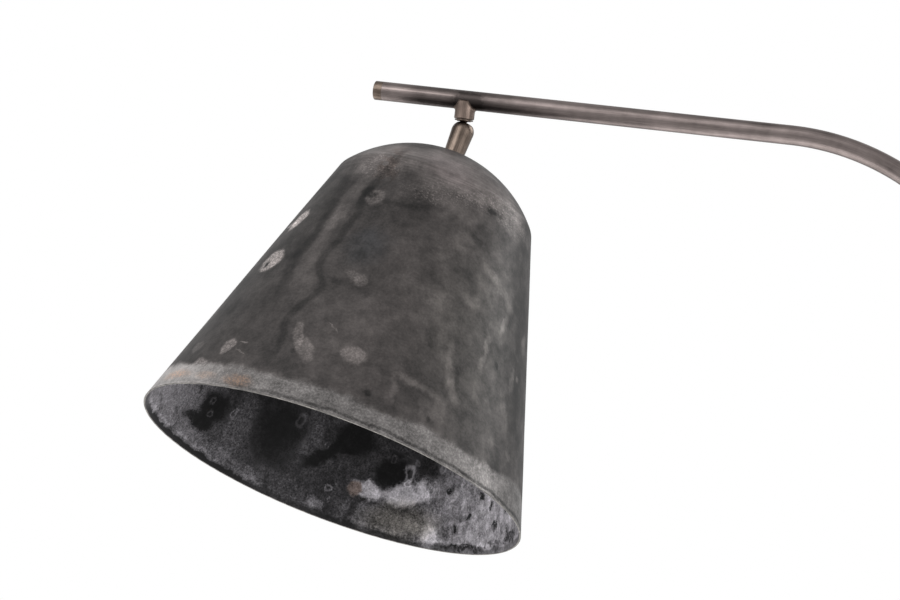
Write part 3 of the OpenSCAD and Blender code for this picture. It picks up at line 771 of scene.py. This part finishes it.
def turned(outline, steps=128, closed=True, shape=None, slots=None):
    """The vertices, faces and face slots of an outline of (r, z) turned about +Z. Points on the axis
    become poles. shape(r, z, angle) may return another (r, z), and slots gives each line its material."""
    vertices, rows = [], []
    for r, z in outline:
        if r < 1e-6:
            rows.append([len(vertices)] * steps)
            vertices.append((0, 0, z))
            continue
        row = []
        for k in range(steps):
            t = 2 * pi * k / steps
            rr, zz = shape(r, z, t) if shape else (r, z)
            row.append(len(vertices))
            vertices.append((rr * cos(t), rr * sin(t), zz))
        rows.append(row)
    faces, face_slots = [], []
    for i in range(len(rows) if closed else len(rows) - 1):
        low, high = rows[i], rows[(i + 1) % len(rows)]
        for k in range(steps):
            n = (k + 1) % steps
            face = list(dict.fromkeys((low[k], low[n], high[n], high[k])))
            if len(face) > 2:
                faces.append(face)
                face_slots.append(slots[i] if slots else 0)
    area = sum(r0 * z1 - r1 * z0 for (r0, z0), (r1, z1) in zip(outline, outline[1:] + outline[:1]))
    if area < 0:
        faces = [face[::-1] for face in faces]
    return vertices, faces, face_slots


def lathe(name, slot, outline, place, body, node, **turning):
    """A turned piece; turning is passed on to turned()."""
    vertices, faces, face_slots = turned(outline, **turning)
    return mesh_object(name, slot, vertices, faces, place, body, node, face_slots=face_slots)


def tube(name, slot, stations, outer, inner, body, node, steps=72):
    """A tube along stations of (centre, side, direction, distance so far), with its bore and end faces."""
    vertices, flow, rows = [], [], []
    for radius, walls in ((outer, stations), (inner, stations[::-1])):
        for centre, side, along, distance in walls:
            other = along.cross(side)
            rows.append(len(vertices))
            for k in range(steps):
                t = 2 * pi * k / steps
                vertices.append(centre + radius * (cos(t) * side + sin(t) * other))
                flow.append((radius * cos(t), radius * sin(t), distance))
    faces = []
    for low, high in zip(rows, rows[1:] + rows[:1]):
        for k in range(steps):
            n = (k + 1) % steps
            faces.append((low + k, low + n, high + n, high + k))
    return mesh_object(name, slot, vertices, faces, WORLD, body, node, own=flow)


# ---- Pieces ----

def shade_corner():
    """The shoulder's centre, and the angle at which it meets the crown."""
    line = RIM_R - SHOULDER_R / cos(CONE) - CROWN_Z * tan(CONE)
    a = 1 + tan(CONE) ** 2
    b = line * tan(CONE)
    c = line ** 2 - (CROWN_R - SHOULDER_R) ** 2
    up = (b + sqrt(b * b - a * c)) / a
    centre = (line - up * tan(CONE), CROWN_Z + up)
    return centre, atan2(up, centre[0])


def shade_line(depth):
    """The shade's profile at a depth below its outer skin, from the rim to the hole at the apex."""
    centre, meet = shade_corner()
    shoulder = arc(centre, SHOULDER_R - depth, CONE, meet, 8)
    rim = (RIM_R - depth / cos(CONE), 0)
    rows = 40
    cone = [(rim[0] + (shoulder[0][0] - rim[0]) * i / rows, shoulder[0][1] * i / rows) for i in range(rows)]
    crown = arc((0, CROWN_Z), CROWN_R - depth, meet, acos(FLAT_R / CROWN_R), 24)
    return cone + shoulder + crown[1:] + [(HOLE_R, FLAT_Z - depth)]


def make_shade():
    outer = shade_line(0)
    inner = shade_line(SHEET_T)[::-1]
    outer[0] = (RIM_R - 0.05, 0.25)
    inner[-1] = (RIM_R - SHEET_T / cos(CONE), 0.25)
    edge = [(RIM_R - 1.0, 0), (RIM_R - 0.3, 0)]
    slots = [0] * len(outer) + [2] * (len(inner) - 1) + [1] * 3

    def hand_spun(r, z, t):
        """A sheet that was spun by hand is never quite even."""
        wave = noise.noise(Vector((r * cos(t), r * sin(t), z)) * 0.02) * 0.22
        return r + wave - 0.1, z

    lathe("shade_spinning", "shade_steel", outer + inner + edge, AT_SHADE, "head", "shade",
          steps=256, shape=hand_spun, slots=slots)


def stand_stations(start, end):
    """Stations along the stem from height start, round the bend, to the distance end along the arm."""
    bend_centre = Vector((-BEND_R, 0, STEM_H))
    rows, bend_rows = 8, 64
    stations = []
    for i in range(rows + 1):
        z = start + (STEM_H - start) * i / rows
        stations.append((z * UP, SIDE, UP, z - start))
    for i in range(1, bend_rows + 1):
        t = BEND_TURN * i / bend_rows
        stations.append((bend_centre + BEND_R * Vector((cos(t), 0, sin(t))), SIDE,
                         Vector((-sin(t), 0, cos(t))), STEM_H - start + BEND_R * t))
    last, _, along, so_far = stations[-1]
    for i in range(1, rows + 1):
        reach = end * i / rows
        stations.append((last + along * reach, SIDE, along, so_far + reach))
    return stations


def make_stand():
    tube("arm_and_stem_tube", "bronzed_steel",
         stand_stations(JOINT_H + JOINER_RING, ARM_REACH + ARM_TAIL - CAP_L),
         TUBE_R, TUBE_BORE_R, "stand", "arm_tube")
    cap = rounded([(0, 0, 0), (TUBE_R, 0, 0.35), (TUBE_R, -CAP_L, 0.15), (TUBE_BORE_R, -CAP_L, 0),
                   (TUBE_BORE_R, -CAP_L - CAP_SPIGOT, 0.5), (0, -CAP_L - CAP_SPIGOT, 0)])
    lathe("arm_end_plug", "cap_bronze", held(cap, closed=False), AT_ARM_END, "stand", "arm_end_cap",
          closed=False)
    lower = rounded([(TUBE_R, JOINT_H, 0.2), (TUBE_R, COLLAR_FOOT, 0), (TUBE_BORE_R, COLLAR_FOOT, 0),
                     (TUBE_BORE_R, JOINT_H, 0)])
    lathe("stem_lower_tube", "bronzed_steel", held(lower), WORLD, "stand", "stem_lower")
    ring_top = JOINT_H + JOINER_RING
    foot, top, bore = JOINT_H - JOINER_SPIGOT, ring_top + JOINER_SPIGOT, 3.2
    joiner = rounded([(TUBE_R, ring_top, 0.25), (TUBE_R, JOINT_H, 0.25), (TUBE_BORE_R, JOINT_H, 0),
                      (TUBE_BORE_R, foot, 0.5), (bore, foot, 0.3), (bore, top, 0.3),
                      (TUBE_BORE_R, top, 0.5), (TUBE_BORE_R, ring_top, 0)])
    lathe("stem_joiner_ring", "bronzed_steel", held(joiner), WORLD, "stand", "stem_joiner")
    top, foot = BASE_H + COLLAR_H, BASE_H
    flare = arc((COLLAR_R, top - 2), COLLAR_R - COLLAR_NECK_R, radians(255), radians(180), 14)
    collar = [(NIPPLE_R, foot), (COLLAR_R - 0.3, foot), (COLLAR_R, foot + 0.3), (COLLAR_R, foot + 2.2),
              (COLLAR_R - 0.2, foot + 2.5)]
    collar += flare + [(COLLAR_NECK_R, top - 0.4), (COLLAR_NECK_R - 0.4, top), (TUBE_R, top),
                       (TUBE_R, COLLAR_FOOT), (NIPPLE_R, COLLAR_FOOT)]
    lathe("foot_collar", "bronzed_steel", held(collar), WORLD, "stand", "stem_collar")


def make_stub():
    """The short tube under the arm, with the fillet of braze that joins the two."""
    rows = [(STUB_R - 0.5, -STUB_END), (STUB_R - 0.15, -STUB_END + 0.12), (STUB_R, -STUB_END + 0.5),
            (STUB_R, -STUB_END + 0.8), (STUB_R, -10), (STUB_R, -9)]
    braze_steps = 8
    braze = [(STUB_R, -8 + i * 1e-3) for i in range(braze_steps + 1)]
    rows += braze
    rows += [(SHANK_R + 0.06, -TUBE_R + 0.2), (SHANK_R + 0.06, -STUB_END + 0.2), (SHANK_R + 0.3, -STUB_END)]

    def saddle(r, z, t):
        """Carries the rows of the braze up onto the arm, in a hollow curve."""
        if (r, z) not in braze:
            return r, z
        step = braze.index((r, z))
        turn = step / braze_steps * pi / 2
        fillet = 0.25 + 1.35 * cos(t) ** 2
        out = STUB_R + fillet * (1 - cos(turn))
        reach = min(abs(out * sin(t)), TUBE_R - 0.02)
        surface = -sqrt(TUBE_R ** 2 - reach ** 2)
        return out, surface - fillet * (1 - sin(turn)) + 0.05 * (step == braze_steps)

    stub = lathe("brazed_stub", "bronzed_steel", rows, AT_TEE, "stand", "tee_stub", shape=saddle)
    # the stub wears the paler copy of the bronze, with painted highlights
    stub.data.materials[0] = STUB_HIGHLIT_LOOK


def make_swivel():
    mouth = (sin(MOUTH), cos(MOUTH))
    taper = radians(8)
    ball = arc((0, 0), HOUSING_R, -taper, pi / 2 - MOUTH, 24)
    hollow = arc((0, 0), BALL_R + 0.1, pi / 2 - MOUTH_FLARE, 0, 12)
    outline = [(HOUSING_FOOT_R - 0.2, SEAT_Z), (HOUSING_FOOT_R, SEAT_Z + 0.2)] + ball
    outline += [(mouth[0] * (HOUSING_R - 0.4) - 0.2, mouth[1] * (HOUSING_R - 0.4) + 0.15)]
    outline += hollow + [(HOUSING_BORE_R, -2), (HOUSING_BORE_R, SEAT_Z)]
    lathe("swivel_teardrop", "cap_bronze", held(outline), AT_HEAD, "head", "swivel_housing")

    down = -BALL_DROP
    ball = arc((0, down), BALL_R, acos(NECK_R / BALL_R), -acos(STUD_BORE_R / BALL_R), 32)
    stud = [(SHANK_R, -TUBE_R - 1), (SHANK_R, -RING_FOOT), (NECK_R + 0.5, -RING_FOOT - 0.05),
            (NECK_R + 0.1, -RING_FOOT - 0.4), (NECK_R, -RING_FOOT - 0.8)]
    stud += ball + [(STUD_BORE_R, down - 3), (STUD_BORE_R, -TUBE_R - 1)]
    lathe("ball_and_neck", "cap_bronze", held(stud), AT_TEE, "swivel_stud", "ball_stud")

    top, boss_r, ring_r = -STUB_END - 0.3, 5.5, 6.3
    foot = top - 0.9
    ring = rounded([(SHANK_R, top, 0), (SHANK_R, -RING_FOOT, 0), (SHANK_R + 0.4, -RING_FOOT, 0.1),
                    (boss_r, foot, 0.1), (ring_r, foot, 0.2), (ring_r, top, 0.2)])
    lathe("lock_washer_ring", "cap_bronze", held(ring, reach=0.05), AT_TEE, "swivel_stud", "lock_ring")


def threads(radius, foot, top, pitch, depth):
    """A zigzag of thread crests from foot to top, for a turned outline."""
    count = int((top - foot) / pitch)
    points = []
    for i in range(count):
        points += [(radius - depth, foot + i * pitch), (radius, foot + (i + 0.5) * pitch)]
    return points + [(radius - depth, foot + count * pitch)]


def make_shade_nut():
    half = NUT_ACROSS / 2
    foot = HOLDER_TOP + 1
    top = foot + NUT_T

    def hexagon(r, z, t):
        """Turns the two outer rows into a hexagon whose corners are cut by a cone."""
        if r < half:
            return r, z
        flat = (t + pi / 6) % (pi / 3) - pi / 6
        side = half / cos(flat)
        proud = (side - half) * 0.55
        return side, z - proud if z == top else z + proud

    outline = [(NIPPLE_R, foot + 0.4), (NIPPLE_R + 0.4, foot), (half - 0.05, foot), (half, foot),
               (half, top), (half - 0.05, top), (NIPPLE_R + 0.4, top), (NIPPLE_R, top - 0.4)]
    lathe("shade_clamp_nut", "zinc", outline, AT_HEAD, "head", "shade_nut", steps=120, shape=hexagon)


def make_shade_fixing():
    """The hollow nipple through the crown, with its washer."""
    bore, plug_top, plug_r = 2.2, -10.5, HOUSING_BORE_R
    nipple = [(bore, HOLDER_TOP - 8)] + threads(NIPPLE_R, HOLDER_TOP - 8, SEAT_Z - 0.6, 1.0, 0.35)
    nipple += [(plug_r, SEAT_Z), (plug_r, plug_top - 0.3), (plug_r - 0.3, plug_top), (bore, plug_top)]
    lathe("hollow_nipple", "brass", nipple, AT_HEAD, "head", "shade_nipple")
    top = SEAT_Z - SHEET_T
    foot, rim = top - WASHER_T, 6.8
    washer = rounded([(NIPPLE_R, top, 0.1), (rim, top, 0.15), (rim, foot, 0.15), (NIPPLE_R, foot, 0.1)])
    lathe("shade_clamp_washer", "zinc", held(washer), AT_HEAD, "head", "shade_washer")


def make_lampholder():
    neck_r = 8
    dome_r = HOLDER_R - neck_r
    dome = arc((neck_r, CAP_SHOULDER), dome_r, pi / 2, 0, 16)
    inside = arc((neck_r, CAP_SHOULDER), dome_r - 1, 0, pi / 2, 16)
    skirt = [(HOLDER_R, CAP_SHOULDER - 0.8 * i) for i in range(1, 11)]
    cap = [(NIPPLE_R, HOLDER_TOP), (neck_r - 0.4, HOLDER_TOP), (neck_r, HOLDER_TOP - 0.4)] + dome + skirt
    cap += [(HOLDER_R - 0.1, CAP_FOOT + 0.3), (HOLDER_R - 0.4, CAP_FOOT), (HOLDER_R - 1, CAP_FOOT)]
    cap += inside + [(NIPPLE_R, CAP_SHOULDER + dome_r - 1)]

    def grip(r, z, t):
        """Fine upright ribs round the cap's skirt."""
        if r < HOLDER_R - 0.01 or not CAP_FOOT + 1 < z < CAP_SHOULDER - 1:
            return r, z
        return r - 0.18 * (1 - cos(48 * t)), z

    lathe("holder_cap_ribbed", "holder_black", cap, AT_HEAD, "head", "holder_cap", steps=384, shape=grip)
    outer = HOLDER_R - 1
    sleeve = [(outer, CAP_FOOT + 5), (outer, BODY_FOOT + 2.5), (outer + 0.9, BODY_FOOT + 2.3)]
    sleeve += arc((outer + 0.5, BODY_FOOT + 1.2), 0.7, radians(50), radians(-50), 8)
    sleeve += [(outer + 0.6, BODY_FOOT), (outer - 1, BODY_FOOT), (outer - 1, CAP_FOOT + 5)]
    grooves = [(outer - 0.3 * (i % 2), CAP_FOOT - 6 - 0.7 * i) for i in range(9)]
    lathe("holder_sleeve", "holder_black", sleeve[:1] + grooves + sleeve[1:], AT_HEAD, "head",
          "holder_body")


def make_bulb():
    skirt_r = 13.2
    pitch = 3.63
    low, high = GLASS_TOP + 2, GLASS_TOP + 20
    rows = 72
    skirt = [(skirt_r, GLASS_TOP), (skirt_r, low)]
    skirt += [(skirt_r, low + (high - low) * i / rows) for i in range(1, rows)]
    button_r = 5
    inner_r = skirt_r - 1.3
    skirt += [(skirt_r, high), (skirt_r - 0.1, high + 1), (button_r + 2, high + 3), (button_r, high + 3),
              (button_r, high), (inner_r, high), (inner_r, GLASS_TOP)]

    def rolled(r, z, t):
        """The round thread that is rolled into the cap's shell, fading at both ends."""
        if r < skirt_r or not low <= z <= high:
            return r, z
        fade = min(1, (z - low) / 2, (high - z) / 2)
        return r - 0.55 * fade * (0.5 - 0.5 * cos(2 * pi * z / pitch - t)), z

    lathe("bulb_screw_cap", "bulb_nickel", skirt, AT_HEAD, "head", "bulb_cap", shape=rolled)

    # a round globe that runs into its neck in one hollow curve
    leave = radians(38)
    globe = arc((0, GLOBE_Z), GLOBE_R, -pi / 2, leave, 48)
    start, end = Vector(globe[-1]), Vector((14.4, GLASS_TOP - 12))
    pull = 15
    leg_in = start + pull * Vector((-sin(leave), cos(leave)))
    leg_out = end - pull * Vector((-0.04, 1)).normalized()
    neck = []
    neck_rows = 16
    for i in range(1, neck_rows + 1):
        t = i / neck_rows
        u = 1 - t
        neck.append(tuple(u ** 3 * start + 3 * t * u * u * leg_in + 3 * t * t * u * leg_out + t ** 3 * end))
    outer = globe + neck + [(14, GLASS_TOP - 0.3), (13.9, GLASS_TOP)]
    wall = 0.8
    inner = []
    for i in range(1, len(outer) - 1):
        along = (Vector(outer[i + 1]) - Vector(outer[i - 1])).normalized()
        inner.append((max(outer[i][0] - wall * along.y, 0.4), outer[i][1] + wall * along.x))
    inner = [(0, globe[0][1] + wall)] + inner + [(13.2, GLASS_TOP)]
    lathe("bulb_globe", "clear_glass", outer + inner[::-1], AT_HEAD, "head", "bulb_glass", closed=False)

    rod_r, rod_l = 0.8, 38
    rod = rounded([(0, 0, 0), (rod_r, 0, 0.3), (rod_r, rod_l, 0.3), (0, rod_l, 0)])
    vertices, faces = [], []
    for quarter in range(4):
        turn = Matrix.Rotation(quarter * pi / 2, 4, "Z") @ Matrix.Translation((9, 0, GLASS_TOP - 50))
        turn @= Matrix.Rotation(radians(-6), 4, "Y")
        points, sides, _ = turned(rod, steps=24, closed=False)
        faces += [[len(vertices) + corner for corner in side] for side in sides]
        vertices += [turn @ Vector(point) for point in points]
    mesh_object("bulb_filament_rods", "filament", vertices, faces, AT_HEAD, "head", "bulb_filaments")


def make_base():
    edge_r = 6
    edge = (BASE_R - edge_r, BASE_H - edge_r)
    outer = [(BASE_R - 0.2, 1), (BASE_R, 1.2)] + arc(edge, edge_r, 0, pi / 2, 16) + [(HOLE_R, BASE_H)]
    inner = [(BASE_R - COVER_T, 1)] + arc(edge, edge_r - COVER_T, 0, pi / 2, 16)
    inner += [(HOLE_R, BASE_H - COVER_T)]
    lathe("base_spinning", "base_steel", held(outer + inner[::-1]), WORLD, "stand", "base_cover", steps=192)
    pad = rounded([(0, 0, 0), (PAD_R, 0, 0.4), (PAD_R, PAD_T, 0.4), (0, PAD_T, 0)])
    lathe("felt_pad", "felt", held(pad, closed=False), WORLD, "stand", "floor_pad", closed=False, steps=192)
    bore, neck, lip, flange = 3.5, 5, 6.2, 6.5
    bush = rounded([(bore, 2, 0.5), (bore, -3, 0.3), (lip, -3, 0.3), (lip, -1.5, 0.3), (neck, -1.5, 0),
                    (neck, 0, 0), (flange, 0, 0.2), (flange, 2, 0.8)])
    lathe("inlet_bush", "rubber", held(bush, reach=0.1), AT_INLET, "stand", "cord_bush", steps=64)


def make_floor(material):
    steps, reach = 96, 6
    edge = [(reach * cos(2 * pi * k / steps), reach * sin(2 * pi * k / steps), 0) for k in range(steps)]
    mesh = bpy.data.meshes.new("floor")
    mesh.from_pydata([(0, 0, 0)] + edge, [], [(0, k + 1, (k + 1) % steps + 1) for k in range(steps)])
    mesh.materials.append(material)
    add_object("floor", mesh)


def paint(node, slot):
    """Gives a CAD node the finish of its slot."""
    for holder in frame["nodes"][node].material_slots:
        holder.link = "OBJECT"
        holder.material = LOOKS[slot][0]


# ---- The scene ----

bpy.context.scene.view_settings.view_transform = "Standard"
make_camera()
make_world()
make_softbox("key", (-1.6, -2.1, 3.4), (-0.4, 0, 1.3), (2.2, 2.2), 46)
make_softbox("right", (2.4, -1.2, 2.2), (-0.3, 0, 1.35), (1.6, 1.8), 12)
make_softbox("low", (1.6, -1.8, 1.0), (-0.1, 0, 1.4), (1.3, 1.0), 8)
make_softbox("floor_bounce", (-0.95, -0.3, 0.12), (-0.95, -0.3, 1.4), (1.5, 1.8), 18)
make_softbox("back_right", (1.5, 1.6, 2.3), (-0.3, 0, 1.4), (0.8, 1.6), 20)
make_floor(floor_finish())

# Finishes of one cloud: dark and light tone, size of the cloud, roughness, metal, relief
PLAIN = {
    "felt": ((0.02, 0.02, 0.02), (0.05, 0.05, 0.05), 1.2, 0.95, 0, 0.3),
    "rubber": ((0.012, 0.012, 0.012), (0.022, 0.022, 0.022), 2, 0.6),
    "zinc": ((0.32, 0.33, 0.34), (0.52, 0.53, 0.54), 2, 0.38, 1),
    "brass": ((0.42, 0.31, 0.14), (0.62, 0.47, 0.23), 3, 0.34, 1),
    "holder_black": ((0.010, 0.010, 0.010), (0.024, 0.023, 0.022), 1.5, 0.36),
    "porcelain": ((0.72, 0.71, 0.68), (0.80, 0.79, 0.76), 3, 0.25),
    "lead_jacket": ((0.60, 0.58, 0.54), (0.72, 0.70, 0.66), 2, 0.5),
    "cast_iron": ((0.05, 0.05, 0.052), (0.10, 0.10, 0.10), 2.5, 0.7, 0.5, 0.15),
    "terminal_plastic": ((0.62, 0.60, 0.52), (0.72, 0.70, 0.62), 2, 0.45),
    "nylon": ((0.58, 0.56, 0.48), (0.70, 0.68, 0.60), 2, 0.45),
    "bulb_nickel": ((0.42, 0.42, 0.41), (0.62, 0.61, 0.59), 2.5, 0.30, 1),
    "filament": ((0.72, 0.46, 0.08), (0.86, 0.60, 0.16), 0.8, 0.6, 0, 0.06),
}
LOOKS = {
    "shade_steel": [shade_outside(), shade_rim(), shade_inside()],
    "bronzed_steel": [arm_bronze("stand_bronze", (0.115, 0.096, 0.091), (0.29, 0.243, 0.232))],
    "cap_bronze": [brushed_bronze("swivel_bronze", (0.050, 0.038, 0.031), (0.26, 0.204, 0.168), 0.36)],
    "base_steel": [spun_steel("base_steel", (0.045, 0.043, 0.042), (0.11, 0.105, 0.10))],
    "clear_glass": [clear_glass()],
}
LOOKS |= {slot: [plain(slot, *values)] for slot, values in PLAIN.items()}

# A paler, more contrasting copy of the bronze for the stub alone: painted highlights for the bright streaks
# of light on it
STUB_HIGHLIT_LOOK = brushed_bronze("stub_bronze_highlit", (0.085, 0.066, 0.056), (0.38, 0.292, 0.248))

make_shade()
make_stand()
make_stub()
make_swivel()
make_shade_fixing()
make_shade_nut()
make_lampholder()
make_bulb()
make_base()

# CAD nodes that stay as they are, hidden or nearly so, by their slot
for slot, nodes in {
    "cast_iron": ["base_weight"],
    "brass": ["base_nipple", "holder_thread", "holder_contact"],
    "zinc": ["base_washer", "base_nut", "terminal_screws", "spring_washers", "holder_screws"],
    "terminal_plastic": ["terminal_block"],
    "lead_jacket": ["stand_lead", "holder_lead"],
    "nylon": ["friction_cup"],
    "porcelain": ["holder_insert"],
    "bulb_nickel": ["bulb_contact"],
    "clear_glass": ["bulb_stem"],
}.items():
    for node in nodes:
        paint(node, slot)
